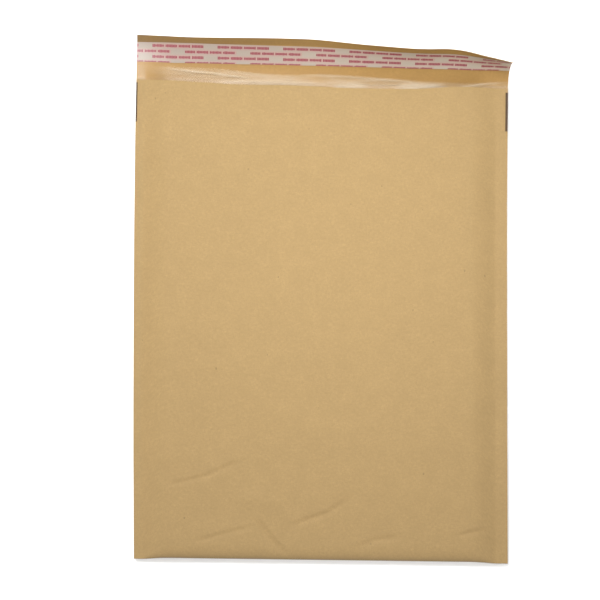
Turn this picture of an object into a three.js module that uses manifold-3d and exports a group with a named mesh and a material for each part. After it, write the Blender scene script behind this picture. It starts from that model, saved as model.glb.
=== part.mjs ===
// Padded mailing envelope, empty, lying on its back with the flap open.
// Millimetres, +Z up, +Y from the bottom fold towards the flap, +X to the right.
// One kraft web and one bubble-film web are folded together at the bottom and sealed along both sides.

import * as THREE from "three";
import { mergeVertices } from "three/addons/utils/BufferGeometryUtils.js";
import Module from "manifold-3d";

const wasm = await Module();
wasm.setup();

// Outside of the envelope
const BODY_WIDTH = 290;
const BODY_LENGTH = 370;
const FLAP_LENGTH = 36;
// The webs are sealed and cut a little out of square, in degrees
const SKEW = 0.73;

// Layers, from the outside in
const PAPER = 0.25;
const GAP = 0.3;
const FILM_AT_SEAM = 0.2;
const FILM_AT_FOLD = 1.0;
const FILM_AT_LIP = 0.4;
const BUBBLE_FILM = 2.6;
const POCKET = 5.6;

// Side seams and bottom fold
const SEAM_WIDTH = 8;
const SLOPE_WIDTH = 16;
const SEAM_SAG = 0.8;
const FOLD_NOSE = 12;
const FOLD_NOSE_AT_SEAM = 0.7;
const FOLD_PULL = 1.2;

// Mouth
const MOUTH_PULL = 2.5;
const MOUTH_WAVE = 0.9;
const MOUTH_LIFT = 0.6;
const LIP_LEFT = 9;
const LIP_RIGHT = 5;
const LIP_TAPER = 20;

// Flap curl: the angle of the sheet at its free edge grows from left to right
const CURL_LEFT = 13;
const CURL_GROWTH = 74;
const CORNER_CURL = 50;
const CORNER_FROM = 0.83;
const CORNER_TO = 1.16;
const HINGE_ANGLE = 18;

// Adhesive strip and its release liner, along the flap
const STRIP_MARGIN = 6;
const STRIP_WIDTH = 14;
const LINER_MARGIN = 5.6;
const LINER_WIDTH = 15.5;
const STRIP_THICKNESS = 0.1;

const SIDE = BODY_WIDTH / 2;
const LINING_DEPTH = PAPER / 2 + GAP;
const HALF_GAP = LINING_DEPTH + BUBBLE_FILM + POCKET / 2;
const HALF_GAP_AT_SEAM = LINING_DEPTH + FILM_AT_SEAM + 0.05;
const MID_HEIGHT = HALF_GAP + PAPER / 2;

const { lerp, smoothstep, degToRad } = THREE.MathUtils;

// 0 in the side seams, 1 over the padded middle
function fullness(x) {
  const inset = SIDE - Math.abs(x);
  return smoothstep(inset, SEAM_WIDTH, SEAM_WIDTH + SLOPE_WIDTH);
}

// 0 at the left edge, 1 at the right edge
function across(x) {
  return (x + SIDE) / BODY_WIDTH;
}

function halfGap(x) {
  return lerp(HALF_GAP_AT_SEAM, HALF_GAP, fullness(x));
}

function midHeight(x) {
  return MID_HEIGHT - SEAM_SAG * (1 - fullness(x));
}

function noseLength(x) {
  return lerp(FOLD_NOSE_AT_SEAM, FOLD_NOSE, fullness(x));
}

function noseCentre(x) {
  return FOLD_PULL * fullness(x) + noseLength(x);
}

function mouthEdge(x) {
  const pull = MOUTH_PULL + MOUTH_WAVE * Math.sin((x - 20) / 28);
  return BODY_LENGTH - pull * lerp(0.4, 1, fullness(x));
}

function lipLength(x) {
  return lerp(LIP_LEFT, LIP_RIGHT, smoothstep(across(x), 0.2, 0.9)) + Math.sin(x / 17);
}

// The sheet's places. Depth is measured from the middle of the paper towards the pocket.
function frontPoint(x, y, depth) {
  const lift = MOUTH_LIFT * fullness(x) * (0.5 + 0.5 * Math.sin(x / 31)) * smoothstep(y, 300, BODY_LENGTH);
  return new THREE.Vector3(x, y, midHeight(x) + halfGap(x) + lift - depth);
}

function foldPoint(x, angle, depth) {
  const y = noseCentre(x) - (noseLength(x) - depth) * Math.cos(angle);
  const z = midHeight(x) + (halfGap(x) - depth) * Math.sin(angle);
  return new THREE.Vector3(x, y, z);
}

function backPoint(x, y, depth) {
  return new THREE.Vector3(x, y, midHeight(x) - halfGap(x) + depth);
}

function flapPoint(x, along, depth) {
  const t = across(x);
  const start = degToRad(HINGE_ANGLE * smoothstep(t, 0.2, 1));
  const corner = CORNER_CURL * smoothstep(t, CORNER_FROM, CORNER_TO);
  const end = degToRad(CURL_LEFT + CURL_GROWTH * t + corner);
  const bend = (end - start) / FLAP_LENGTH;
  const angle = start + bend * along;
  const run = (Math.sin(angle) - Math.sin(start)) / bend;
  const rise = (Math.cos(start) - Math.cos(angle)) / bend;
  const settle = 1 - (1 - t) * smoothstep(along, 0, FLAP_LENGTH);
  const base = PAPER / 2 + (midHeight(x) - halfGap(x) - PAPER / 2) * settle;
  return new THREE.Vector3(x, BODY_LENGTH + run - depth * Math.sin(angle), base + rise + depth * Math.cos(angle));
}

// Stations across the width: close together over the seams and their slopes
function stations() {
  const edge = [0, 0.4, 1, 1.25, 1.5, 1.75, 2].map((k) => k * SEAM_WIDTH);
  const slopeEnd = SEAM_WIDTH + SLOPE_WIDTH;
  const outer = [...edge, 20, slopeEnd].map((inset) => SIDE - inset);
  const flat = SIDE - slopeEnd;
  const middle = Array.from({ length: 11 }, (_, i) => lerp(-flat, flat, (i + 1) / 12));
  return [...outer.map((x) => -x), ...middle, ...outer.reverse()];
}

function steps(count, from, to) {
  return Array.from({ length: count + 1 }, (_, i) => lerp(from, to, i / count));
}

// A closed sheet between two grids of points, given as place(x, row, face) with face 0 outside and 1 inside
function sheet(columns, rows, place) {
  const positions = [];
  const width = columns.length;
  const perFace = width * rows.length;
  for (const face of [0, 1]) {
    for (const row of rows) {
      for (const x of columns) positions.push(...place(x, row, face).toArray());
    }
  }
  const index = [];
  const quad = (a, b, c, d) => index.push(a, b, c, a, c, d);
  const at = (i, j, face) => face * perFace + j * width + i;
  for (let j = 0; j + 1 < rows.length; j++) {
    for (let i = 0; i + 1 < width; i++) {
      quad(at(i, j, 0), at(i, j + 1, 0), at(i + 1, j + 1, 0), at(i + 1, j, 0));
      quad(at(i, j, 1), at(i + 1, j, 1), at(i + 1, j + 1, 1), at(i, j + 1, 1));
    }
  }
  for (let i = 0; i + 1 < width; i++) {
    const last = rows.length - 1;
    quad(at(i, 0, 0), at(i + 1, 0, 0), at(i + 1, 0, 1), at(i, 0, 1));
    quad(at(i, last, 0), at(i, last, 1), at(i + 1, last, 1), at(i + 1, last, 0));
  }
  for (let j = 0; j + 1 < rows.length; j++) {
    const last = width - 1;
    quad(at(0, j, 0), at(0, j, 1), at(0, j + 1, 1), at(0, j + 1, 0));
    quad(at(last, j, 0), at(last, j + 1, 0), at(last, j + 1, 1), at(last, j, 1));
  }
  const geometry = new THREE.BufferGeometry();
  geometry.setAttribute("position", new THREE.Float32BufferAttribute(positions, 3));
  geometry.setIndex(index);
  return geometry;
}

function solidOf(geometry) {
  const bare = geometry.clone();
  bare.deleteAttribute("normal");
  bare.deleteAttribute("uv");
  const merged = mergeVertices(bare);
  const mesh = new wasm.Mesh({
    numProp: 3,
    vertProperties: new Float32Array(merged.attributes.position.array),
    triVerts: new Uint32Array(merged.index.array),
  });
  return new wasm.Manifold(mesh);
}

function geometryOf(solid) {
  const { vertProperties, triVerts } = solid.getMesh();
  const geometry = new THREE.BufferGeometry();
  geometry.setAttribute("position", new THREE.BufferAttribute(vertProperties, 3));
  geometry.setIndex(new THREE.BufferAttribute(triVerts, 1));
  return geometry;
}

// Rows that run down the front, round the bottom fold, up the back and out along the flap
function sheetRows() {
  const front = [0, 0.012, 0.03, 0.06, 0.1, 0.2, 0.45, 0.75].map((t) => ({ zone: "front", t }));
  const fold = steps(8, Math.PI / 2, -Math.PI / 2).map((angle) => ({ zone: "fold", angle }));
  const back = [0.25, 0.55, 0.8, 0.94, 1].map((t) => ({ zone: "back", t }));
  return [...front, ...fold, ...back];
}

function kraftEnvelope() {
  const flap = steps(10, 0, FLAP_LENGTH).slice(1).map((along) => ({ zone: "flap", along }));
  const place = (x, row, face) => {
    const depth = (face - 0.5) * PAPER;
    if (row.zone === "front") return frontPoint(x, lerp(mouthEdge(x), noseCentre(x), row.t), depth);
    if (row.zone === "fold") return foldPoint(x, row.angle, depth);
    if (row.zone === "back") return backPoint(x, lerp(noseCentre(x), BODY_LENGTH, row.t), depth);
    return flapPoint(x, row.along, depth);
  };
  return sheet(stations(), [...sheetRows(), ...flap], place);
}

// The film is thin where the seams crush it, at the fold, and towards its upper edge
function filmThickness(x, row) {
  let middle = BUBBLE_FILM;
  if (row.zone === "fold") middle = lerp(FILM_AT_FOLD, BUBBLE_FILM, Math.sin(row.angle) ** 2);
  if (row.zone === "back") {
    const left = BODY_LENGTH * (1 - row.t);
    middle = lerp(BUBBLE_FILM, FILM_AT_LIP * 2, smoothstep(-left, -LIP_TAPER, 0));
  }
  if (row.zone === "flap") middle = lerp(FILM_AT_LIP * 2, FILM_AT_LIP, row.t);
  return lerp(FILM_AT_SEAM, middle, fullness(x));
}

function bubbleLining() {
  const lip = [0.5, 1].map((t) => ({ zone: "flap", t }));
  const place = (x, row, face) => {
    const depth = LINING_DEPTH + face * filmThickness(x, row);
    if (row.zone === "front") return frontPoint(x, lerp(mouthEdge(x) - 1, noseCentre(x), row.t), depth);
    if (row.zone === "fold") return foldPoint(x, row.angle, depth);
    if (row.zone === "back") return backPoint(x, lerp(noseCentre(x), BODY_LENGTH, row.t), depth);
    return flapPoint(x, row.t * lipLength(x), depth);
  };
  const web = solidOf(sheet(stations(), [...sheetRows(), ...lip], place));
  const weldLength = BODY_LENGTH - FOLD_NOSE_AT_SEAM - 3;
  const weld = (side) => {
    const bar = new THREE.BoxGeometry(SEAM_WIDTH, weldLength, FILM_AT_SEAM);
    bar.translate(side * (SIDE - SEAM_WIDTH / 2), FOLD_NOSE_AT_SEAM + weldLength / 2, MID_HEIGHT - SEAM_SAG);
    return solidOf(bar);
  };
  return geometryOf(web.add(weld(-1)).add(weld(1)));
}

// A thin strip along the flap, held off the paper by the given depth
function flapStrip(margin, width, depth) {
  const top = FLAP_LENGTH - margin;
  const place = (x, along, face) => flapPoint(x, along, depth + face * STRIP_THICKNESS);
  return sheet(stations(), steps(4, top - width, top), place);
}

function part(name, geometry, colour, roughness) {
  geometry.applyMatrix4(new THREE.Matrix4().makeShear(-Math.tan(degToRad(SKEW)), 0, 0, 0, 0, 0));
  const material = new THREE.MeshStandardMaterial({ color: colour, roughness, metalness: 0 });
  geometry.computeVertexNormals();
  const mesh = new THREE.Mesh(geometry, material);
  mesh.name = name;
  return mesh;
}

const stripDepth = LINING_DEPTH;
const linerDepth = stripDepth + STRIP_THICKNESS + GAP;

const group = new THREE.Group();
group.add(part("kraft_envelope", kraftEnvelope(), 0xc9a876, 0.75));
group.add(part("bubble_lining", bubbleLining(), 0xe0d6c4, 0.25));
group.add(part("adhesive_strip", flapStrip(STRIP_MARGIN, STRIP_WIDTH, stripDepth), 0xd8c8a0, 0.3));
group.add(part("release_liner", flapStrip(LINER_MARGIN, LINER_WIDTH, linerDepth), 0xd0bab4, 0.45));

// The origin is under the middle of the whole thing, on the surface that it lies on
const bounds = new THREE.Box3().setFromObject(group);
const centre = bounds.getCenter(new THREE.Vector3());
group.position.set(-centre.x, -centre.y, -bounds.min.z);

export default group;
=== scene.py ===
"""An empty padded mailing envelope, lying on its back with the flap open.

One web of brown kraft paper is folded at the bottom and sealed along both sides. A web of bubble film is
folded with it and lines the pocket, and its upper edge shows as a wrinkled lip past the mouth. A strip of
adhesive under a release liner runs along the flap, which curls up more and more towards its right end.

Every sheet is made flat, as a thin closed slab, and each of its points is then carried to where the folded
web holds it. Metres, +Z up, +Y from the bottom fold towards the flap, +X to the right.
"""

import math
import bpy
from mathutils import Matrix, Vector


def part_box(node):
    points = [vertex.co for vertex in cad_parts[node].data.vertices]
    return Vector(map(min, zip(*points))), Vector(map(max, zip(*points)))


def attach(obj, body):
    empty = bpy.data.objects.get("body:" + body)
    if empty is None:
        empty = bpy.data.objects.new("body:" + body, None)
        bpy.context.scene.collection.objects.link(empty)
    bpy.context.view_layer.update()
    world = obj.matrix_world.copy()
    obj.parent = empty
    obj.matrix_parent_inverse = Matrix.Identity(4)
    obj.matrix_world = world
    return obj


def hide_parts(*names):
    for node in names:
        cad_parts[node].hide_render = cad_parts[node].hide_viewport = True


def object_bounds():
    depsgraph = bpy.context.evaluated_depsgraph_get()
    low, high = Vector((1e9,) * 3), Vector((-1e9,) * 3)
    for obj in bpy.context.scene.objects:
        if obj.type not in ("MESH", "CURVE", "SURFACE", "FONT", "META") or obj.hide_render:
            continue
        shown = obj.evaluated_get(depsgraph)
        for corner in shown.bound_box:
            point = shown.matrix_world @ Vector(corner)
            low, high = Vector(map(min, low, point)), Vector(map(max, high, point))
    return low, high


bl_info = {
    "name": "Padded Envelope",
    "version": (1, 0, 0),
    "blender": (4, 5, 0),
    "location": "3D Viewport > Sidebar > Envelope",
    "description": "An empty padded mailing envelope with its flap open, round the packed model",
    "category": "Add Mesh",
}

import bmesh
import bpy
from bpy.props import FloatProperty, FloatVectorProperty, IntProperty, PointerProperty
from mathutils import Euler, Vector, noise

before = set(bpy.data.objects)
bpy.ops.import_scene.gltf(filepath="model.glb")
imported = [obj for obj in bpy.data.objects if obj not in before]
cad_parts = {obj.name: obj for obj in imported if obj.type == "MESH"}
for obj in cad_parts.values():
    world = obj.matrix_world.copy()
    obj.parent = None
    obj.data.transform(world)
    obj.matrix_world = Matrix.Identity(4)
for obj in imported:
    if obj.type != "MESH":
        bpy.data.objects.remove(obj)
CAD_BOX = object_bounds()
PAPER_LOW, PAPER_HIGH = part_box("kraft_envelope")


# ---------------------------------------------------------------- sizes and colours


def distance(name, description, default):
    return FloatProperty(name=name, description=description, default=default, unit="LENGTH", precision=5)


def turn(name, description, degrees):
    return FloatProperty(name=name, description=description, default=math.radians(degrees), unit="ROTATION")


def colour(name, description, default):
    return FloatVectorProperty(
        name=name, description=description, default=default, subtype="COLOR", size=3, min=0.0, max=1.0
    )


def power(name, description, default):
    return FloatProperty(name=name, description=description, default=default, unit="POWER")


class EnvelopeSizes(bpy.types.PropertyGroup):
    """The paper web: its outside, its layers and its folds."""

    width: distance("Width", "Across the envelope, over both side seams", PAPER_HIGH.x - PAPER_LOW.x)
    length: distance("Length", "From the bottom fold to the flap's hinge", 0.370)
    flap: distance("Flap", "From the hinge to the flap's free edge", 0.0354)
    skew: turn("Skew", "How far out of square the webs are cut", 0.73)
    paper: distance("Paper", "Thickness of the kraft paper", 0.00025)
    half_gap: distance("Half gap", "From the middle of the pocket to the paper", 0.005825)
    half_gap_at_seam: distance("Half gap at seam", "The same in the crushed side seams", 0.0005)
    seam_left: distance("Left seam", "Width of the left side seam", 0.0072)
    seam_right: distance("Right seam", "Width of the right side seam", 0.0096)
    slope: distance("Slope", "Width over which the sheet rises from a seam", 0.020)
    seam_sag: distance("Seam sag", "How far the seams hang below the middle of the pocket", 0.0008)
    nose: distance("Nose", "Length of the rounded bottom fold", 0.012)
    nose_at_seam: distance("Nose at seam", "The same in the side seams", 0.0007)
    fold_pull: distance("Fold pull", "How far the padded fold is drawn in from its corners", 0.0012)
    mouth_drop: distance("Mouth drop", "How far the front panel sinks towards the mouth", 0.0034)


class FlapSizes(bpy.types.PropertyGroup):
    """The flap's curl, and the strip and liner on it."""

    hinge: turn("Hinge", "Angle of the flap at its hinge, at the right end", 18)
    curl_left: turn("Curl left", "Angle of the free edge at the left end", 13)
    curl_growth: turn("Curl growth", "How much the free edge's angle grows to the right", 74)
    corner_curl: turn("Corner curl", "What the right corner curls further", 50)
    strip_margin: distance("Strip margin", "From the flap's edge to the adhesive", 0.006)
    strip_width: distance("Strip width", "Width of the adhesive", 0.014)
    liner_margin: distance("Liner margin", "From the flap's edge to the liner", 0.0056)
    liner_width: distance("Liner width", "Width of the release liner", 0.0155)


class LiningSizes(bpy.types.PropertyGroup):
    """The bubble film."""

    film: distance("Film", "Thickness of the flat backing film", 0.0003)
    film_at_seam: distance("Film at seam", "Thickness of the film where a seam crushes it", 0.00012)
    bubble_height: distance("Bubble height", "How far a bubble stands into the pocket", 0.0024)
    bubble_width: distance("Bubble width", "Diameter of a bubble", 0.0098)
    pitch: distance("Pitch", "From one bubble to the next in a row", 0.0115)
    plain_at_mouth: distance("Plain at mouth", "Flat film from the last bubbles to the mouth", 0.015)
    bubble_sides: IntProperty(name="Bubble sides", description="Facets round a bubble", default=8)


class EnvelopeColours(bpy.types.PropertyGroup):
    """Base colours of each finish."""

    kraft: colour("Kraft", "Outside of the paper", (0.295, 0.196, 0.0818))
    laminated: colour("Laminated", "Inside of the paper, under its thin plastic", (0.298, 0.171, 0.0510))
    mark: colour("Mark", "Printed cutting marks at the side edges", (0.035, 0.015, 0.008))
    film: colour("Film", "Bubble film", (0.68, 0.57, 0.41))
    adhesive: colour("Adhesive", "Hot-melt adhesive", (0.62, 0.50, 0.28))
    liner: colour("Liner", "Release liner", (0.332, 0.262, 0.206))
    print: colour("Print", "Dashes printed on the liner", (0.185, 0.008, 0.028))
    floor: colour("Floor", "Studio floor", (0.94, 0.94, 0.94))


class StageSettings(bpy.types.PropertyGroup):
    """Camera, lamps and floor."""

    lens: FloatProperty(name="Lens", description="Focal length in millimetres", default=88.8, unit="CAMERA")
    height: distance("Height", "Camera above the floor", 1.150)
    key: power("Key", "Power of the key lamp", 9.8)
    pool: power("Pool", "Power of the gridded lamp overhead", 0.16)
    pool_spread: turn("Pool spread", "Spread of the gridded lamp", 27.0)
    sky: FloatProperty(name="Sky", description="Brightness of the white room", default=1.0)


# ---------------------------------------------------------------- small helpers


def lerp(a, b, t):
    return a + (b - a) * t


def smoothstep(value, low, high):
    t = min(max((value - low) / (high - low), 0.0), 1.0)
    return t * t * (3 - 2 * t)


def through(points, x):
    """The height at x of a smooth curve through points, which are ordered along x."""
    last = len(points) - 1
    k = 0
    while k < last - 1 and x > points[k + 1][0]:
        k += 1
    before, start, end, after = (points[min(max(k + i, 0), last)] for i in (-1, 0, 1, 2))
    span = end[0] - start[0]
    t = (x - start[0]) / span
    slope_in = (end[1] - before[1]) / (end[0] - before[0]) * span
    slope_out = (after[1] - start[1]) / (after[0] - start[0]) * span
    rise = end[1] - start[1]
    curve = (slope_in + slope_out - 2 * rise) * t + 3 * rise - 2 * slope_in - slope_out
    return start[1] + t * (slope_in + t * curve)


def wave(x, y, wavelength, seed):
    """Smooth noise between -1 and 1."""
    return noise.noise(Vector((x / wavelength, y / wavelength, seed)))


class Line:
    """A bent line on the flat sheet: a crease or a wrinkle with soft ends."""

    def __init__(self, height, width, *points):
        self.height = height
        self.width = width
        self.points = [Vector(p) for p in points]
        reach = 3 * width
        self.low = Vector((min(p.x for p in self.points) - reach, min(p.y for p in self.points) - reach))
        self.high = Vector((max(p.x for p in self.points) + reach, max(p.y for p in self.points) + reach))

    def strength(self, x, y):
        """1 on the line, falling to 0 beside it and at its ends."""
        if not (self.low.x < x < self.high.x and self.low.y < y < self.high.y):
            return 0.0
        here = Vector((x, y))
        best = 0.0
        count = len(self.points) - 1
        for k in range(count):
            start, step = self.points[k], self.points[k + 1] - self.points[k]
            t = min(max((here - start).dot(step) / step.length_squared, 0.0), 1.0)
            gap = (here - start - step * t).length / self.width
            along = (k + t) / count
            best = max(best, math.exp(-gap * gap) * min(1.0, 4 * along, 4 * (1 - along)))
        return best

    def rise(self, x, y):
        return self.height * self.strength(x, y)


# Creases of the front panel, near the bottom fold. Places are from the middle of the fold.
CREASES = (
    Line(
        -0.00080, 0.0018,
        (-0.123, 0.056), (-0.103, 0.061), (-0.088, 0.065), (-0.070, 0.073), (-0.058, 0.079),
    ),
    Line(-0.00075, 0.0019, (-0.099, 0.014), (-0.077, 0.020), (-0.048, 0.028)),
    Line(
        -0.00150, 0.0016,
        (-0.054, 0.036), (-0.046, 0.028), (-0.036, 0.015), (-0.028, 0.008), (-0.021, 0.002),
    ),
    Line(-0.00115, 0.0020, (-0.027, 0.025), (-0.009, 0.033), (0.006, 0.038), (0.026, 0.053)),
    Line(-0.00100, 0.0018, (0.104, 0.021), (0.118, 0.025), (0.133, 0.027)),
    Line(-0.00085, 0.0024, (0.018, 0.007), (0.043, 0.018), (0.066, 0.021)),
    Line(0.00055, 0.0060, (-0.122, 0.147), (-0.090, 0.150), (-0.055, 0.153)),
    Line(0.00075, 0.0060, (-0.064, 0.050), (-0.050, 0.048), (-0.032, 0.040)),
    Line(0.00075, 0.0080, (0.060, 0.060), (0.085, 0.054), (0.112, 0.050)),
)

# The mouth's edge and the edge of the film lip: place across, and distance from the bottom fold
MOUTH = (
    (-0.145, 0.3700), (-0.107, 0.3690), (-0.068, 0.3671), (-0.020, 0.3672), (0.017, 0.3659),
    (0.046, 0.3659), (0.075, 0.3664), (0.095, 0.3678), (0.114, 0.3687), (0.145, 0.3680),
)
LIP = (
    (-0.145, 0.3815), (-0.110, 0.3812), (-0.084, 0.3808), (-0.049, 0.3776), (-0.027, 0.3768),
    (0.000, 0.3779), (0.046, 0.3760), (0.085, 0.3739), (0.110, 0.3735), (0.145, 0.3744),
)

# How far each side edge is drawn in: distance from the bottom fold, and inset
LEFT_INSET = (
    (-0.01, 0.0014), (0.015, 0.0012), (0.050, 0.0009), (0.090, 0.0004), (0.160, 0.0001),
    (0.240, 0.0000), (0.300, 0.0002), (0.340, 0.0005), (0.370, 0.0009), (0.410, 0.0013),
)
RIGHT_INSET = (
    (-0.01, 0.0004), (0.050, 0.0007), (0.100, 0.0009), (0.200, 0.0010), (0.280, 0.0009),
    (0.330, 0.0006), (0.360, 0.0003), (0.390, 0.0000), (0.410, 0.0000),
)

# How much more the free edge of the flap curls along its length: place across, and degrees
CURL_WAVES = (
    (-0.145, 3.0), (-0.105, 8.0), (-0.060, 7.0), (-0.012, 0.0), (0.005, 0.5), (0.035, 6.0),
    (0.062, 7.0), (0.080, 4.5), (0.096, -1.5), (0.110, -3.0), (0.124, -0.5), (0.145, 0.0),
)

# What the flap's free edge is cut longer along its length: place across, and length
EDGE_TRIM = (
    (-0.145, 0.0000), (-0.125, -0.0005), (-0.100, -0.0008), (-0.080, -0.0004), (-0.045, 0.0006),
    (-0.010, 0.0009), (0.020, 0.0002), (0.050, 0.0004), (0.070, 0.0004), (0.092, 0.0010),
    (0.106, 0.0006), (0.125, 0.0), (0.145, 0.0),
)

# Ridges of the slack film along the lip. They also place its whitening and painted highlights.
RIDGES = (
    Line(
        0.0010, 0.0012,
        (-0.134, 0.3818), (-0.1084, 0.3784), (-0.086, 0.3767), (-0.066, 0.3743), (-0.050, 0.3716),
    ),
    Line(
        0.0010, 0.0024,
        (-0.090, 0.3688), (-0.062, 0.3704), (-0.040, 0.3702), (-0.015, 0.3698), (0.014, 0.3684),
    ),
    Line(0.0005, 0.0014, (-0.088, 0.3807), (-0.066, 0.3788), (-0.048, 0.3772), (-0.020, 0.3764)),
    Line(0.0004, 0.0014, (-0.018, 0.3768), (0.006, 0.3776), (0.040, 0.3758), (0.074, 0.3740)),
    Line(0.0008, 0.0022, (0.006, 0.3676), (0.022, 0.3684), (0.038, 0.3678)),
    Line(0.0009, 0.0026, (0.056, 0.3676), (0.078, 0.3692), (0.100, 0.3708)),
    Line(0.0009, 0.0013, (0.104, 0.3686), (0.121, 0.3716), (0.131, 0.3728), (0.1445, 0.3738)),
)

# How creamy the film of the lip looks, as whitening and painted light: place across, and share
CREAM = (
    (-0.145, 0.00), (-0.134, 0.05), (-0.120, 0.40), (-0.105, 0.50), (-0.075, 0.45), (-0.030, 0.50),
    (0.000, 0.30), (0.025, 0.65), (0.075, 0.80), (0.100, 0.50), (0.118, 0.35), (0.145, 0.20),
)


# ---------------------------------------------------------------- the folded web

FRONT, FOLD, BACK, FLAP = "front", "fold", "back", "flap"
PAPER, FILM = "paper", "film"

# The right corner of the flap curls more, between these fractions of the width
CORNER_FROM, CORNER_TO = 0.83, 1.16
# The hinge starts to bend at this fraction of the width
HINGE_FROM = 0.2
# How crisp the line is where the sheet leaves a seam, from 0 to 1
SEAM_CRISPNESS = 0.65
# The softer slope that the flap has beside its seams, and how far from the hinge it takes to reach it
SOFT_SLOPE, SOFT_FROM = 0.032, 0.014
# What the front panel is cut shorter at its mouth, and how far from the mouth it starts to sink
MOUTH_CUT, MOUTH_SINK_LENGTH = 0.0025, 0.062
# How far the front's film keeps below the paper, and behind the mouth's edge
FILM_SINK, FRONT_FILM_BACK = 0.0015, 0.001
# Waves of the sheet: height, length and place in the noise
SWELL_HEIGHT, SWELL_LENGTH, SWELL_SEED = 0.00080, 0.085, 3.7
COCKLE_HEIGHT, COCKLE_LENGTH, COCKLE_SEED = 0.00022, 0.022, 9.1
PUCKER_HEIGHT, PUCKER_LENGTH, PUCKER_SEED = 0.00060, 0.024, 1.3
SEAM_WAVE_HEIGHT, SEAM_WAVE_LENGTH, SEAM_WAVE_SEED = 0.0007, 0.055, 0.4
MOUTH_WAVE_HEIGHT, MOUTH_WAVE_LENGTH, MOUTH_WAVE_SEED = 0.0007, 0.038, 5.2
FLAP_WAVE_HEIGHT, FLAP_WAVE_LENGTH, FLAP_WAVE_SEED = 0.00025, 0.030, 7.7
# The left and right sides read their noise this far apart from the middle, so that they differ
PUCKER_APART, SEAM_WAVE_APART = 1, 3


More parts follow.
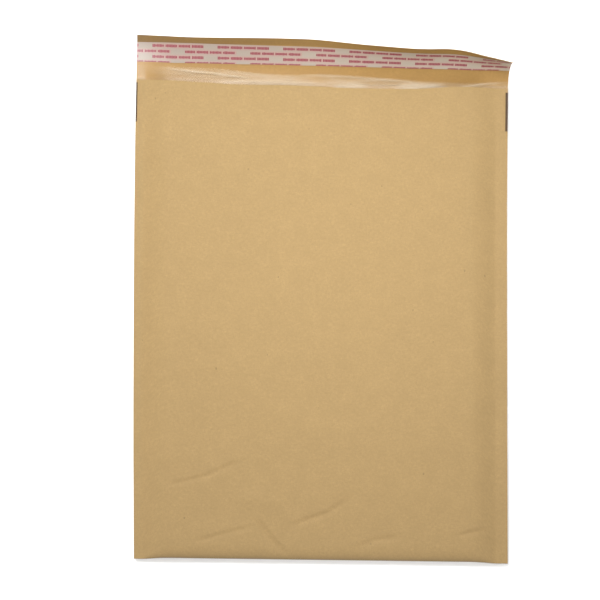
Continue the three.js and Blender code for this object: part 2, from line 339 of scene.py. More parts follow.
class FoldedWeb:
    """Where each point of the flat web lies once it is folded, sealed and curled.

    A point is given by its place across, the stretch of the web it is on, how far along that stretch it is,
    from 0 to 1, and a depth from the middle of the paper towards the pocket.
    """

    def __init__(self, sizes, flap):
        self.side = sizes.width / 2
        self.width = sizes.width
        self.length = sizes.length
        self.flap_length = sizes.flap
        self.skew = math.tan(sizes.skew)
        self.half_paper = sizes.paper / 2
        self.full_gap = sizes.half_gap
        self.seam_gap = sizes.half_gap_at_seam
        self.seam_left = sizes.seam_left
        self.seam_right = sizes.seam_right
        self.slope = sizes.slope
        self.seam_sag = sizes.seam_sag
        self.nose = sizes.nose
        self.nose_at_seam = sizes.nose_at_seam
        self.fold_pull = sizes.fold_pull
        self.mouth_drop = sizes.mouth_drop
        self.hinge = flap.hinge
        self.curl_left = flap.curl_left
        self.curl_growth = flap.curl_growth
        self.corner_curl = flap.corner_curl
        self.mid = self.full_gap + self.half_paper
        self.fold_line = PAPER_LOW.y + self.skew * self.side + self.half_paper

    def flat_lengths(self):
        """Lengths of the four stretches of the web before it was folded."""
        nose_arc = math.pi * math.sqrt((self.nose**2 + self.full_gap**2) / 2)
        return {
            FRONT: self.length - MOUTH_CUT - self.nose - self.fold_pull,
            FOLD: nose_arc,
            BACK: self.length - self.nose - self.fold_pull,
            FLAP: self.flap_length,
        }

    def fullness(self, x):
        """0 in the side seams, 1 over the padded middle. The sheet leaves a seam at a crisp line."""
        seam = self.seam_left if x < 0 else self.seam_right
        inset = self.side - abs(x) - seam
        t = min(max(inset / self.slope, 0.0), 1.0)
        return lerp(smoothstep(t, 0, 1), math.sin(t * math.pi / 2), SEAM_CRISPNESS)

    def half_gap(self, x):
        return lerp(self.seam_gap, self.full_gap, self.fullness(x))

    def mid_height(self, x):
        return self.mid - self.seam_sag * (1 - self.fullness(x))

    def nose_length(self, x):
        return lerp(self.nose_at_seam, self.nose, self.fullness(x))

    def nose_centre(self, x):
        return self.fold_pull * self.fullness(x) + self.nose_length(x)

    def underside(self, full):
        """Height of the back panel above the table, by how full the pocket is there."""
        return (self.full_gap - self.seam_gap - self.seam_sag) * (1 - full)

    def relief(self, x, y, layer):
        """How far the front panel stands above its plain shape. The film keeps clear of the creases."""
        full = self.fullness(x)
        body = SWELL_HEIGHT * wave(x, y, SWELL_LENGTH, SWELL_SEED)
        sink = smoothstep(y, self.length - MOUTH_SINK_LENGTH, self.length)
        mouth_wave = MOUTH_WAVE_HEIGHT * wave(x, 0, MOUTH_WAVE_LENGTH, MOUTH_WAVE_SEED)
        body -= sink * (self.mouth_drop + mouth_wave)
        pucker = PUCKER_HEIGHT * wave(math.copysign(PUCKER_APART, x), y, PUCKER_LENGTH, PUCKER_SEED)
        if layer == PAPER:
            body += COCKLE_HEIGHT * wave(x, y, COCKLE_LENGTH, COCKLE_SEED)
            body += sum(crease.rise(x, y) for crease in CREASES)
        else:
            body -= FILM_SINK * (1 - sink)
        return full * body + 4 * full * (1 - full) * pucker

    def flap_point(self, x, along):
        across = (x + self.side) / self.width
        start = self.hinge * smoothstep(across, HINGE_FROM, 1)
        corner = self.corner_curl * smoothstep(across, CORNER_FROM, CORNER_TO)
        end = self.curl_left + self.curl_growth * across + corner + math.radians(through(CURL_WAVES, x))
        bend = (end - start) / self.flap_length
        angle = start + bend * along
        run = (math.sin(angle) - math.sin(start)) / bend
        rise = (math.cos(start) - math.cos(angle)) / bend
        settle = 1 - (1 - across) * smoothstep(along, 0, self.flap_length)
        raised = self.underside(self.fullness(x))
        softly = self.underside(smoothstep(self.side - abs(x), 0, SOFT_SLOPE))
        raised = lerp(raised, softly, smoothstep(along, 0, SOFT_FROM))
        waving = 1 + wave(x, along, FLAP_WAVE_LENGTH, FLAP_WAVE_SEED)
        lift = FLAP_WAVE_HEIGHT * waving * along / self.flap_length
        point = Vector((x, self.length + run, self.half_paper + raised * settle + rise + lift))
        return point, Vector((0, -math.sin(angle), math.cos(angle)))

    def place(self, x, stretch, t, layer=PAPER):
        """A point of the paper's middle, and the direction from it into the pocket."""
        if stretch == FLAP:
            point, inward = self.flap_point(x, t * (self.flap_length + through(EDGE_TRIM, x)))
        elif stretch == FRONT:
            mouth = through(MOUTH, x) - (FRONT_FILM_BACK if layer == FILM else 0)
            y = lerp(mouth, self.nose_centre(x), t)
            point = Vector((x, y, self.mid_height(x) + self.half_gap(x) + self.relief(x, y, layer)))
            inward = Vector((0, 0, -1))
        elif stretch == FOLD:
            angle = math.pi * (0.5 - t)
            inward = Vector((0, math.cos(angle), -math.sin(angle)))
            y = self.nose_centre(x) - self.nose_length(x) * inward.y
            relief = self.relief(x, y, layer) * max(math.sin(angle), 0) ** 2
            point = Vector((x, y, self.mid_height(x) - self.half_gap(x) * inward.z)) - inward * relief
        else:
            y = lerp(self.nose_centre(x), self.length, t)
            point = Vector((x, y, self.mid_height(x) - self.half_gap(x)))
            inward = Vector((0, 0, 1))
        return point, inward

    def settled(self, point):
        """The point where the web lies on the table: skewed, its seams slightly waisted and wavy."""
        x, y = point.x, point.y
        inset = through(LEFT_INSET if x < 0 else RIGHT_INSET, y)
        drawn = x - math.copysign(inset, x) * (x / self.side) ** 2
        sway = SEAM_WAVE_HEIGHT * (1 - self.fullness(x))
        sway *= wave(math.copysign(SEAM_WAVE_APART, x), y, SEAM_WAVE_LENGTH, SEAM_WAVE_SEED)
        return Vector((drawn, y + self.fold_line - self.skew * x, max(point.z + sway, 0.0)))


# ---------------------------------------------------------------- slabs


def spread(low, high, count):
    """count steps from low to high, without high itself."""
    return [lerp(low, high, i / count) for i in range(count)]


def stations(side, edge, at_edge, in_middle):
    """Places across the web, closer together over the seams and their slopes."""
    return (
        spread(-side, edge - side, at_edge)
        + spread(edge - side, side - edge, in_middle)
        + spread(side - edge, side, at_edge)
        + [side]
    )


def flat_slab(columns, rows):
    """A closed slab, one unit thick, with a cell for each step of columns and rows."""
    across, along = columns - 1, rows - 1
    bm = bmesh.new()
    bmesh.ops.create_grid(bm, x_segments=across, y_segments=along, size=0.5)
    bmesh.ops.translate(bm, vec=(0.5, 0.5, 0), verts=bm.verts)
    bmesh.ops.scale(bm, vec=(across, along, 1), verts=bm.verts)
    raised = bmesh.ops.extrude_face_region(bm, geom=bm.faces[:], use_keep_orig=True)
    inner = [item for item in raised["geom"] if isinstance(item, bmesh.types.BMVert)]
    bmesh.ops.translate(bm, vec=(0, 0, 1), verts=inner)
    bmesh.ops.recalc_face_normals(bm, faces=bm.faces)
    return bm


OUTER, INNER, RIM = 0, 1, 2


def label_faces(bm, flat_place):
    """Gives each face of a flat slab its side as material, and its place on the flat web as UV."""
    uv = bm.loops.layers.uv.new("flat")
    for face in bm.faces:
        face.smooth = True
        if abs(face.normal.z) > 0.5:
            face.material_index = INNER if face.normal.z > 0 else OUTER
        else:
            face.material_index = RIM
        for loop in face.loops:
            loop[uv].uv = flat_place(round(loop.vert.co.x), round(loop.vert.co.y))
    for edge in bm.edges:
        sides = {face.material_index for face in edge.link_faces}
        edge.smooth = len(sides) == 1


def object_from(bm, name, materials):
    mesh = bpy.data.meshes.new(name)
    bm.to_mesh(mesh)
    bm.free()
    for material in materials:
        mesh.materials.append(material)
    piece = bpy.data.objects.new(name, mesh)
    bpy.context.scene.collection.objects.link(piece)
    return piece


def built_on(piece, node):
    """The piece stands for its CAD node, whose part it hides, and rides on the one body."""
    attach(piece, "root")
    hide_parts(node)
    return piece


# ---------------------------------------------------------------- materials


MILLIMETRES = 1000.0


class Graph:
    """A material under construction. Values are sockets or plain numbers."""

    def __init__(self, name):
        self.material = bpy.data.materials.new(name)
        self.material.use_nodes = True
        self.nodes = self.material.node_tree.nodes
        self.links = self.material.node_tree.links
        self.shader = self.nodes["Principled BSDF"]

    def feed(self, socket, value):
        if isinstance(value, bpy.types.NodeSocket):
            self.links.new(value, socket)
        else:
            socket.default_value = value

    def add(self, kind, inputs=None, **settings):
        node = self.nodes.new(kind)
        for key, value in settings.items():
            setattr(node, key, value)
        for key, value in (inputs or {}).items():
            self.feed(node.inputs[key], value)
        return node

    def set(self, **inputs):
        """Shader inputs, with underscores for spaces. A plain number goes on the shader's own socket."""
        for key, value in inputs.items():
            self.feed(self.shader.inputs[key.replace("_", " ")], value)

    def maths(self, operation, a, b=0.0):
        return self.add("ShaderNodeMath", {0: a, 1: b}, operation=operation).outputs[0]

    def plus(self, a, b):
        return self.maths("ADD", a, b)

    def times(self, a, b):
        return self.maths("MULTIPLY", a, b)

    def within(self, value, low, high):
        """1 where value is between low and high."""
        above = self.maths("GREATER_THAN", value, low)
        below = self.maths("LESS_THAN", value, high)
        return self.times(above, below)

    def ramp(self, value, low, high, start=0.0, end=1.0):
        """value between low and high, carried to between start and end."""
        inputs = {"Value": value, "From Min": low, "From Max": high, "To Min": start, "To Max": end}
        return self.add("ShaderNodeMapRange", inputs).outputs["Result"]

    def flat(self, scale=(MILLIMETRES, MILLIMETRES, MILLIMETRES)):
        """The place on the flat web, in millimetres or stretched by scale."""
        uv = self.add("ShaderNodeTexCoord").outputs["UV"]
        return self.add("ShaderNodeMapping", {"Vector": uv, "Scale": scale}).outputs["Vector"]

    def grain(self, vector, scale, detail=3.0, roughness=0.5, distortion=0.0):
        inputs = {"Vector": vector, "Scale": scale, "Detail": detail}
        inputs |= {"Roughness": roughness, "Distortion": distortion}
        return self.add("ShaderNodeTexNoise", inputs).outputs["Fac"]

    def mix(self, amount, a, b, blend="MIX"):
        node = self.add("ShaderNodeMix", data_type="RGBA", blend_type=blend)
        self.feed(node.inputs["Factor"], amount)
        self.feed(node.inputs[6], a)
        self.feed(node.inputs[7], b)
        return node.outputs[2]

    def bump(self, height, strength, depth):
        inputs = {"Height": height, "Strength": strength, "Distance": depth}
        return self.add("ShaderNodeBump", inputs).outputs["Normal"]


def opaque(rgb, factor=1.0):
    return (rgb[0] * factor, rgb[1] * factor, rgb[2] * factor, 1.0)


# Kraft's noise, per millimetre, and the stretches of its fibres and of the cells that hold a shive
CLOUD_SCALE, BLOTCH_SCALE, MOTTLE_SCALE = 0.030, 0.09, 0.42
FIBRES_ALONG, FIBRES_ACROSS = (2600.0, 420.0, 1000.0), (380.0, 1900.0, 1000.0)
SHIVE_CELLS, SHIVE_FROM, SHIVE_SIZE = (125.0, 80.0, 1000.0), 0.72, 0.085
# How much of each shows, and its tone as a share of the base colour
CLOUD_DARK, CLOUD_LIGHT = 0.955, 1.035
MOTTLE_SHARE, MOTTLE_TONE = 0.80, 1.17
FIBRE_SHARE, FIBRE_TONE = 0.62, 0.80
BLOTCH_SHARE, BLOTCH_TONE = 0.40, 0.84
SHIVE_SHARE, SHIVE_TONE = 0.38, 0.35
# Height of the mottle beside the fibres' 1, and the most that both come to
MOTTLE_HEIGHT, FULL_HEIGHT = 1.5, 2.5


def paper_pattern(graph, base):
    """Colour and height of kraft: clouds, fibres lying mostly along the web, and sparse dark shives."""
    place = graph.flat()
    clouds = graph.ramp(graph.grain(place, CLOUD_SCALE, detail=4.0), 0.3, 0.7)
    blotches = graph.ramp(graph.grain(place, BLOTCH_SCALE, roughness=0.55), 0.32, 0.68)
    mottle = graph.ramp(graph.grain(place, MOTTLE_SCALE, detail=4.0, roughness=0.7), 0.34, 0.66)
    fibres = graph.grain(graph.flat(FIBRES_ALONG), 1.0, roughness=0.6, distortion=0.6)
    crossing = graph.grain(graph.flat(FIBRES_ACROSS), 1.0, roughness=0.6, distortion=0.8)
    threads = graph.ramp(graph.plus(fibres, crossing), 0.75, 1.25)
    toned = graph.mix(clouds, opaque(base, CLOUD_DARK), opaque(base, CLOUD_LIGHT))
    toned = graph.mix(graph.times(mottle, MOTTLE_SHARE), toned, opaque(base, MOTTLE_TONE))
    toned = graph.mix(graph.times(threads, FIBRE_SHARE), toned, opaque(base, FIBRE_TONE))
    toned = graph.mix(graph.times(blotches, BLOTCH_SHARE), toned, opaque(base, BLOTCH_TONE))
    cells = graph.add(
        "ShaderNodeTexVoronoi", {"Vector": graph.flat(SHIVE_CELLS), "Scale": 1.0, "Randomness": 1.0}
    )
    chance = graph.add("ShaderNodeSeparateColor", {"Color": cells.outputs["Color"]}).outputs["Red"]
    size = graph.ramp(chance, SHIVE_FROM, 1.0, 0.0, SHIVE_SIZE)
    shive = graph.maths("LESS_THAN", cells.outputs["Distance"], size)
    toned = graph.mix(graph.times(shive, SHIVE_SHARE), toned, opaque(base, SHIVE_TONE))
    height = graph.plus(threads, graph.times(mottle, MOTTLE_HEIGHT))
    return toned, height


# The cutting marks, in millimetres: width, and where they start and end below the mouth
LEFT_MARK, RIGHT_MARK = (1.15, 2.0, 31.5), (1.9, 2.8, 32.0)
INK_SHARE = 0.93
# How far the painted shade along the bottom fold reaches past the fold, in millimetres, how steeply it
# fades, how much of it shows, and its tone. It stands for the shaded underside of the rounded fold.
FOLD_SHADE_REACH, FOLD_SHADE_POWER, FOLD_SHADE_SHARE, FOLD_SHADE_TONE = 0.3, 3.5, 0.85, 0.38


def kraft_outside(colours, sizes, lengths):
    """Plain kraft, with painted shade along the bottom fold and two dark cutting marks just below the
    mouth.
    """
    graph = Graph("kraft_outside")
    toned, height = paper_pattern(graph, colours.kraft)
    place = graph.add("ShaderNodeSeparateXYZ", {"Vector": graph.flat()})
    across, along = place.outputs["X"], place.outputs["Y"]
    width = sizes.width * MILLIMETRES
    left = graph.times(graph.maths("LESS_THAN", across, LEFT_MARK[0]), graph.within(along, *LEFT_MARK[1:]))
    past = graph.maths("GREATER_THAN", across, width - RIGHT_MARK[0])
    right = graph.times(past, graph.within(along, *RIGHT_MARK[1:]))
    ink = graph.times(graph.plus(left, right), INK_SHARE)
    half_fold = lengths[FOLD] / 2 * MILLIMETRES
    fold_middle = lengths[FRONT] * MILLIMETRES + half_fold
    from_fold = graph.maths("ABSOLUTE", graph.maths("SUBTRACT", along, fold_middle))
    # Painted shade: a dark line along the bottom fold, for the shaded underside of the rounded fold
    painted_fold_shade = graph.maths("POWER", graph.ramp(from_fold, half_fold + FOLD_SHADE_REACH, 0.0), FOLD_SHADE_POWER)
    toned = graph.mix(graph.times(painted_fold_shade, FOLD_SHADE_SHARE), toned, opaque(colours.kraft, FOLD_SHADE_TONE))
    graph.set(
        Base_Color=graph.mix(ink, toned, opaque(colours.mark)),
        Roughness=graph.ramp(height, 0.0, FULL_HEIGHT, 0.82, 0.66),
        Normal=graph.bump(height, 0.28, 0.00005),
        Specular_IOR_Level=0.30,
    )
    return graph.material


# The band of painted shade along the flap's free edge, in millimetres, how much of it shows at each end,
# and its tone. It has faded to the right end's share at nine tenths of the width, in millimetres for each
# metre.
EDGE_SHADE_WIDTH, EDGE_SHADE_BLUR = 5.8, 0.5
EDGE_SHADE_AT_LEFT, EDGE_SHADE_AT_RIGHT, EDGE_SHADE_REACH = 0.80, 0.02, 900
EDGE_SHADE_TONE = 0.35


def kraft_inside(colours, sizes, flat_length):
    """The same paper, deeper in colour under a thin laminate, with painted shade along the flap's free
    edge.
    """
    graph = Graph("kraft_inside")
    toned, height = paper_pattern(graph, colours.laminated)
    place = graph.add("ShaderNodeSeparateXYZ", {"Vector": graph.flat()})
    # Painted shade: darkens the flap's inside along its free edge, most at the left end
    band = flat_length * MILLIMETRES - EDGE_SHADE_WIDTH
    near_edge = graph.ramp(place.outputs["Y"], band - EDGE_SHADE_BLUR, band + EDGE_SHADE_BLUR)
    faded = sizes.width * EDGE_SHADE_REACH
    deepest = graph.ramp(place.outputs["X"], 0.0, faded, EDGE_SHADE_AT_LEFT, EDGE_SHADE_AT_RIGHT)
    painted_edge_shade = graph.times(near_edge, deepest)
    graph.set(
        Base_Color=graph.mix(painted_edge_shade, toned, opaque(colours.laminated, EDGE_SHADE_TONE)),
        Roughness=graph.ramp(height, 0.0, FULL_HEIGHT, 0.52, 0.40),
        Normal=graph.bump(height, 0.10, 0.00003),
        Specular_IOR_Level=0.28,
        Coat_Weight=0.06,
        Coat_Roughness=0.22,
    )
    return graph.material


# Stretches of the film's streaks, which run across the web
FINE_STREAKS, BROAD_STREAKS = (28.0, 620.0, 1000.0), (16.0, 190.0, 1000.0)
# How opaque the lip is where it is smooth and where it is whitest, and what the streaks add to that
LIP_CLEAREST, LIP_WHITEST, STREAK_COVER = 0.015, 0.34, 0.16
# Noise on the bubble film, per metre, and its least and most cover
FILM_CLOUDS, FILM_CRINKLES = 70.0, 650.0
BUBBLE_CLEAREST, BUBBLE_MILKIEST = 0.58, 0.74


def film_streaks(graph):
    """White stress lines of drawn film, running across the web."""
    fine = graph.grain(graph.flat(FINE_STREAKS), 1.0, detail=4.0, roughness=0.6, distortion=0.9)
    broad = graph.grain(graph.flat(BROAD_STREAKS), 1.0, distortion=0.6)
    return graph.times(graph.ramp(fine, 0.42, 0.72), graph.ramp(broad, 0.40, 0.68))


def lip_film(colours):
    """Thin clear film, whiter along its wrinkles, where the whiteness is partly its own whitening and
    partly painted highlights.
    """
    graph = Graph("lip_film")
    haze_and_painted_light = graph.add("ShaderNodeAttribute", attribute_name="haze_and_painted_light").outputs["Fac"]
    streaks = film_streaks(graph)
    # The lip's whiteness is partly the film's own whitening and partly painted highlights along its
    # wrinkles and painted light
    streaked = graph.times(graph.times(streaks, haze_and_painted_light), STREAK_COVER)
    graph.set(
        Base_Color=opaque(colours.film),
        Alpha=graph.plus(graph.ramp(haze_and_painted_light, 0.0, 1.0, LIP_CLEAREST, LIP_WHITEST), streaked),
        Normal=graph.bump(graph.plus(streaks, haze_and_painted_light), 0.10, 0.0002),
        Roughness=0.30,
        Specular_IOR_Level=0.35,
    )
    return graph.material


def bubble_film(colours):
    """The lining in the pocket, milky where the light catches it."""
    graph = Graph("bubble_film")
    place = graph.add("ShaderNodeTexCoord").outputs["Object"]
    cloud = graph.grain(place, FILM_CLOUDS)
    crinkle = graph.grain(place, FILM_CRINKLES, detail=4.0, roughness=0.6)
    graph.set(
        Base_Color=graph.mix(cloud, opaque(colours.film, 0.92), opaque(colours.film, 1.08)),
        Alpha=graph.ramp(cloud, 0.3, 0.7, BUBBLE_CLEAREST, BUBBLE_MILKIEST),
        Roughness=graph.ramp(crinkle, 0.3, 0.7, 0.10, 0.24),
        Normal=graph.bump(crinkle, 0.22, 0.00015),
        Specular_IOR_Level=0.65,
    )
    return graph.material


def adhesive(colours):
    """Hot-melt adhesive, glossy and slightly uneven."""
    graph = Graph("adhesive")
    uneven = graph.grain(graph.flat(), 0.35)
    graph.set(
        Base_Color=graph.mix(uneven, opaque(colours.adhesive, 0.88), opaque(colours.adhesive, 1.08)),
        Normal=graph.bump(uneven, 0.4, 0.0001),
        Roughness=0.22,
        Subsurface_Weight=0.15,
    )
    return graph.material


# The liner's print, in millimetres: rows of dashes in blocks, each second row set half a block along
ROW_HEIGHT, FIRST_ROW = 4.33, 2.5
BLOCK_PERIOD, BLOCK_LENGTH, FIRST_BLOCK = 51.2, 40.3, 12.2
DASH_PERIOD, DASH_SHARE = 1.15, 0.84
DASHES_IN_GROUP, GROUP_SHARE = 9.0, 0.87
# Half the height of a dash, as a share of its row, and the least of its ink where it is patchy
DASH_LEAST, DASH_MOST = 0.18, 0.26
PATCH_SCALE, PATCH_INK = 2.2, 0.84
# The pink that the print leaves round its rows: its colour, and how much shows on and between them
PRINT_HAZE = (0.36, 0.13, 0.12, 1.0)
HAZE_ON_ROW, HAZE_OFF_ROW = 0.34, 0.06
# The liner's painted shade at its left end and painted light at its right end, and the stretch of its
# clouds
LINER_PAINTED_SHADE, LINER_PAINTED_LIGHT = (0.76, 0.78, 0.81, 1.0), (1.04, 1.09, 1.07, 1.0)
LINER_CLOUDS = (24.0, 60.0, 1000.0)


def liner_paper(colours, sizes):
    """Silicone-coated paper with rows of short crimson dashes, in no order that could be read."""
    graph = Graph("liner_paper")
    place = graph.add("ShaderNodeSeparateXYZ", {"Vector": graph.flat()})
    across, down = place.outputs["X"], place.outputs["Y"]
    row_place = graph.maths("DIVIDE", graph.plus(down, ROW_HEIGHT / 2 - FIRST_ROW), ROW_HEIGHT)
    row = graph.maths("FLOOR", row_place)
    from_centre = graph.maths("ABSOLUTE", graph.maths("SUBTRACT", graph.maths("FRACT", row_place), 0.5))
    odd = graph.maths("FLOORED_MODULO", row, 2.0)
    shift = graph.maths("MULTIPLY_ADD", odd, BLOCK_PERIOD / 2)
    shift.node.inputs[2].default_value = BLOCK_PERIOD - FIRST_BLOCK
    along = graph.maths("FLOORED_MODULO", graph.plus(across, shift), BLOCK_PERIOD)
    in_block = graph.maths("LESS_THAN", along, BLOCK_LENGTH)
    dash_place = graph.maths("DIVIDE", along, DASH_PERIOD)
    dash = graph.maths("FLOOR", dash_place)
    seed = graph.add("ShaderNodeCombineXYZ", {"X": dash, "Y": odd})
    chance = graph.add("ShaderNodeTexWhiteNoise", {"Vector": seed.outputs[0]}, noise_dimensions="2D")
    tall = graph.ramp(chance.outputs["Value"], 0.0, 1.0, DASH_LEAST, DASH_MOST)
    in_dash = graph.maths("LESS_THAN", graph.maths("FRACT", dash_place), DASH_SHARE)
    group_place = graph.maths("FRACT", graph.maths("DIVIDE", graph.plus(dash, odd), DASHES_IN_GROUP))
    in_group = graph.maths("LESS_THAN", group_place, GROUP_SHARE)
    inked = graph.times(in_block, graph.maths("LESS_THAN", from_centre, tall))
    inked = graph.times(graph.times(inked, in_dash), in_group)
    patchy = graph.ramp(graph.grain(graph.flat(), PATCH_SCALE, detail=2.0), 0.3, 0.7, PATCH_INK, 1.0)
    near_row = graph.ramp(from_centre, 0.20, 0.50, HAZE_ON_ROW, HAZE_OFF_ROW)
    bleed = graph.times(in_block, near_row)
    cloud = graph.grain(graph.flat(LINER_CLOUDS), 1.0)
    paper = graph.mix(cloud, opaque(colours.liner, 0.93), opaque(colours.liner, 1.10))
    # Painted shade and light: the liner darker towards its left end and paler towards its right end
    paler = graph.ramp(across, 0.0, sizes.width * MILLIMETRES)
    painted_shading = graph.mix(paler, LINER_PAINTED_SHADE, LINER_PAINTED_LIGHT)
    paper = graph.mix(1.0, paper, painted_shading, "MULTIPLY")
    tinted = graph.mix(bleed, paper, PRINT_HAZE)
    graph.set(
        Base_Color=graph.mix(graph.times(inked, patchy), tinted, opaque(colours.print)),
        Normal=graph.bump(graph.grain(graph.flat(), 0.9), 0.12, 0.00005),
        Roughness=0.48,
        Coat_Weight=0.08,
        Coat_Roughness=0.22,
    )
    return graph.material


def floor_paint(colours):
    """Matt white, barely clouded."""
    graph = Graph("studio_floor")
    place = graph.add("ShaderNodeTexCoord").outputs["Object"]
    cloud = graph.grain(place, 0.8, detail=2.0)
    graph.set(
        Base_Color=graph.mix(cloud, opaque(colours.floor, 0.995), opaque(colours.floor)),
        Roughness=0.9,
        Specular_IOR_Level=0.1,
    )
    return graph.material


# ---------------------------------------------------------------- pieces

# Steps along the web for the paper and for the film
PAPER_STEPS = {FRONT: 228, FOLD: 16, BACK: 44, FLAP: 34}
FILM_STEPS = {FRONT: 64, FOLD: 12, BACK: 84}
# The share of the front panel above its creases, and the share of its steps that this part gets
PLAIN_SHARE, PLAIN_STEPS = 0.74, 0.37
# The closely divided strip along each side, and the steps across the web, in a strip and between them
EDGE_STRIP = 0.026
PAPER_ACROSS, FILM_ACROSS, FLAP_ACROSS = (20, 104), (14, 98), (14, 100)


def web_rows(steps):
    """Rows down the front, round the fold, up the back and out along the flap, as (stretch, t)."""
    rows = [(stretch, t) for stretch, count in steps.items() for t in spread(0, 1, count)]
    return rows + [(list(steps)[-1], 1.0)]


def paper_rows():
    """The same for the paper, closer together where the front panel is creased."""
    plain = round(PAPER_STEPS[FRONT] * PLAIN_STEPS)
    front = spread(0, PLAIN_SHARE, plain) + spread(PLAIN_SHARE, 1, PAPER_STEPS[FRONT] - plain)
    return [(FRONT, t) for t in front] + web_rows(PAPER_STEPS)[PAPER_STEPS[FRONT] :]


class PADDED_ENVELOPE_OT_kraft(bpy.types.Operator):
    """Fold the kraft sheet: front, bottom fold, back and flap in one piece"""

    bl_idname = "padded_envelope.kraft"
    bl_label = "Kraft Sheet"
    bl_options = {"REGISTER", "UNDO"}

    def execute(self, context):
        sizes = context.scene.envelope_sizes
        colours = context.scene.envelope_colours
        web = FoldedWeb(sizes, context.scene.flap_sizes)
        columns = stations(web.side, EDGE_STRIP, *PAPER_ACROSS)
        rows = paper_rows()
        lengths = web.flat_lengths()
        starts = {}
        total = 0.0
        for stretch, flat_length in lengths.items():
            starts[stretch] = total
            total += flat_length
        bm = flat_slab(len(columns), len(rows))
        label_faces(
            bm,
            lambda i, j: (columns[i] + web.side, starts[rows[j][0]] + rows[j][1] * lengths[rows[j][0]]),
        )
        for face in bm.faces:
            if face.material_index == RIM:
                face.material_index = OUTER
        places = [[web.place(x, *row) for x in columns] for row in rows]
        for vert in bm.verts:
            point, inward = places[round(vert.co.y)][round(vert.co.x)]
            vert.co = web.settled(point + inward * ((vert.co.z - 0.5) * sizes.paper))
        materials = [kraft_outside(colours, sizes, lengths), kraft_inside(colours, sizes, total)]
        piece = built_on(object_from(bm, "kraft_sheet", materials), "kraft_envelope")
        return {"FINISHED"}


# What the film keeps clear of the paper by, and what its lip keeps clear by beyond that
LINING_CLEARANCE, LIP_CLEARANCE = 0.0001, 0.0003
# Rows of the lip, rows below it that share its clear film, and how the back's rows close up towards it
LIP_ROWS, ROWS_BELOW_LIP, CLOSING_POWER = 30, 12, 2.2
# The film's streaks are drawn by its rows, at this length a row
FILM_ROW = 0.0005
# The lip's fine wrinkles: where they start before the mouth, their noise, and how white they are, as
# whitening and painted highlight on their crests
WRINKLE_FROM = 0.004
WRINKLE_HEIGHT, WRINKLE_LENGTH, WRINKLE_WIDTH, WRINKLE_SEED = 0.0005, 0.040, 0.0036, 4.4
WRINKLE_WHITE = 0.35
# The lip lies down over this length at its edge. It keeps these shares of its lift and of its whitening and
# painted light there, and this share of its lift in the seams.
LIP_EDGE, LIFT_AT_EDGE, HAZE_AT_EDGE, LIFT_AT_SEAM = 0.0025, 0.35, 0.15, 0.45
# Whitening and painted light of creamy film between its wrinkles, and of a wrinkle where the film is clear
# and where it is creamy
CREAM_HAZE, CLEAR_WRINKLE, CREAM_WRINKLE = 0.3, 0.35, 0.85


def lip_ridges(x, y):
    """How high the slack film stands at a place on the lip, and how white it is there, partly from
    whitening and partly as painted highlights.
    """
    strengths = [ridge.strength(x, y) for ridge in RIDGES]
    height = max(ridge.height * strength for ridge, strength in zip(RIDGES, strengths))
    drawn = abs(noise.noise(Vector((x / WRINKLE_LENGTH, y / WRINKLE_WIDTH, WRINKLE_SEED))))
    height += WRINKLE_HEIGHT * (1 - drawn) ** 3
    return height, min(1.0, max(strengths) + WRINKLE_WHITE * (1 - drawn) ** 4)


def film_place(web, sizes, x, row, face):
    """A corner of the lining's backing film, and its whiteness: partly the film's own whitening, partly
    painted highlights and painted light.
    """
    stretch, t = row
    full = web.fullness(x)
    thick = lerp(sizes.film_at_seam, sizes.film, full)
    haze_and_painted_light = 0.0
    lift = 0.0
    if stretch == FLAP:
        y = lerp(web.length, through(LIP, x), t)
        point, inward = web.flap_point(x, y - web.length)
    else:
        point, inward = web.place(x, stretch, t, FILM)
        y = point.y
    if stretch in (BACK, FLAP):
        near = smoothstep(y, through(MOUTH, x) - WRINKLE_FROM, through(MOUTH, x))
        if near > 0:
            height, white = lip_ridges(x, y)
            edge = smoothstep(through(LIP, x) - y, 0, LIP_EDGE)
            lift = height * near * lerp(LIFT_AT_SEAM, 1, full) * lerp(LIFT_AT_EDGE, 1, edge)
            cream = through(CREAM, x)
            # Painted light: whiteness along the ridges and where the film is creamy, partly the film's own
            # whitening and partly painted highlights
            haze_and_painted_light = CREAM_HAZE * cream + white * lerp(CLEAR_WRINKLE, CREAM_WRINKLE, cream)
            haze_and_painted_light = near * min(1.0, haze_and_painted_light) * lerp(HAZE_AT_EDGE, 1, edge)
            thick = lerp(thick, sizes.film_at_seam, near)
        lift += LIP_CLEARANCE * near
    depth = web.half_paper + LINING_CLEARANCE + lift + face * thick
    return point + inward * depth, haze_and_painted_light


# Rings of the ball that a bubble is cut from, and the share of a seam's slope that has no bubbles
BALL_RINGS, SLOPE_WITHOUT = 6, 0.8
# How much lower a bubble may be, and the noise that says so
UNEVEN_SHARE, UNEVEN_LENGTH, UNEVEN_SEEDS = 0.14, 0.006, {FRONT: 8.8, BACK: 2.1}


def bubble_proto(sides):
    """A low closed dome on the unit circle, one unit high."""
    bm = bmesh.new()
    bmesh.ops.create_uvsphere(bm, u_segments=sides, v_segments=BALL_RINGS, radius=1.0)
    cut = bm.verts[:] + bm.edges[:] + bm.faces[:]
    bmesh.ops.bisect_plane(bm, geom=cut, plane_co=(0, 0, 0), plane_no=(0, 0, 1), clear_inner=True)
    bmesh.ops.holes_fill(bm, edges=[edge for edge in bm.edges if edge.is_boundary], sides=0)
    bmesh.ops.recalc_face_normals(bm, faces=bm.faces)
    for face in bm.faces:
        face.smooth = face.normal.z > -0.9
        face.material_index = 1
    mesh = bpy.data.meshes.new("bubble_proto")
    bm.to_mesh(mesh)
    bm.free()
    return mesh


